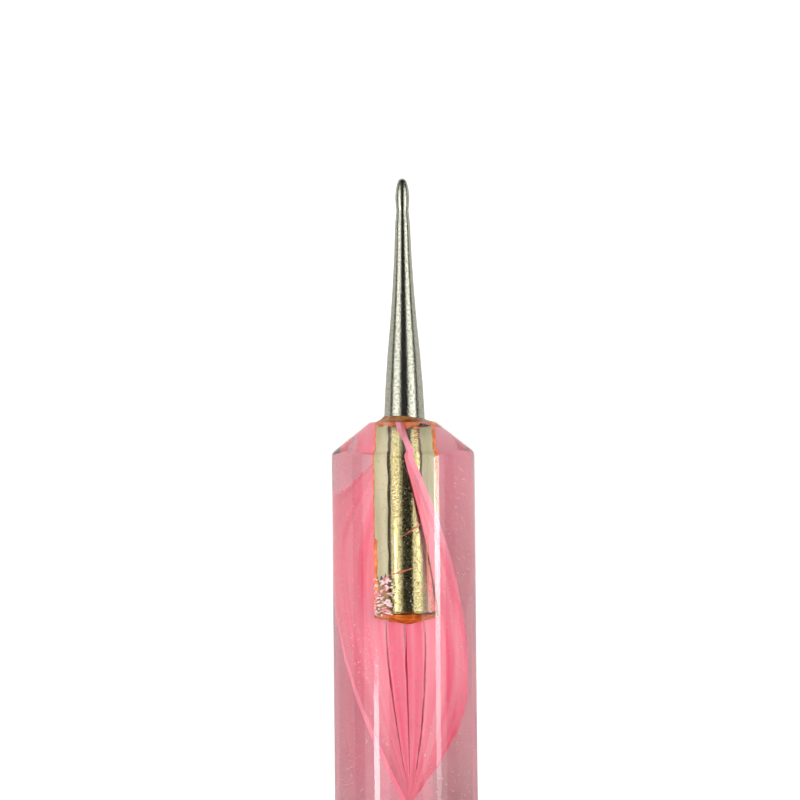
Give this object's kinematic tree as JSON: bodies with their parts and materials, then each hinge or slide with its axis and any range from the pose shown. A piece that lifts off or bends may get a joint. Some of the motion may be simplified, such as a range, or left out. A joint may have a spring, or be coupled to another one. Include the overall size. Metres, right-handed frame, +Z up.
{
  "type": "embossing stylus",
  "caption": "Slim embossing stylus: turned steel ball points glued into a clear rose acrylic bar with coned ends and a twisted pink ribbon inlay running down its inside.",
  "frame": {"origin": "under the middle of the tool, at the height of the surface that the bar lies on", "axes": "+Y along the bar towards the fine point, +Z up"},
  "size_m": [0.008, 0.1322, 0.008],
  "materials": {
    "rose_acrylic": "polished clear acrylic, rose tinted",
    "pink_inlay": "opaque pink acrylic",
    "bright_steel": "turned and nickel plated",
    "amber_glue": "clear amber, glossy"
  },
  "bodies": {
    "root": {"handle_rod": "rose_acrylic", "inlay_strip_outer_a": "pink_inlay", "inlay_strip_inner_a": "pink_inlay", "inlay_strip_inner_b": "pink_inlay", "inlay_strip_outer_b": "pink_inlay", "fine_point": "bright_steel", "fine_adhesive": "amber_glue", "broad_point": "bright_steel", "broad_adhesive": "amber_glue"}
  },
  "joints": []
}
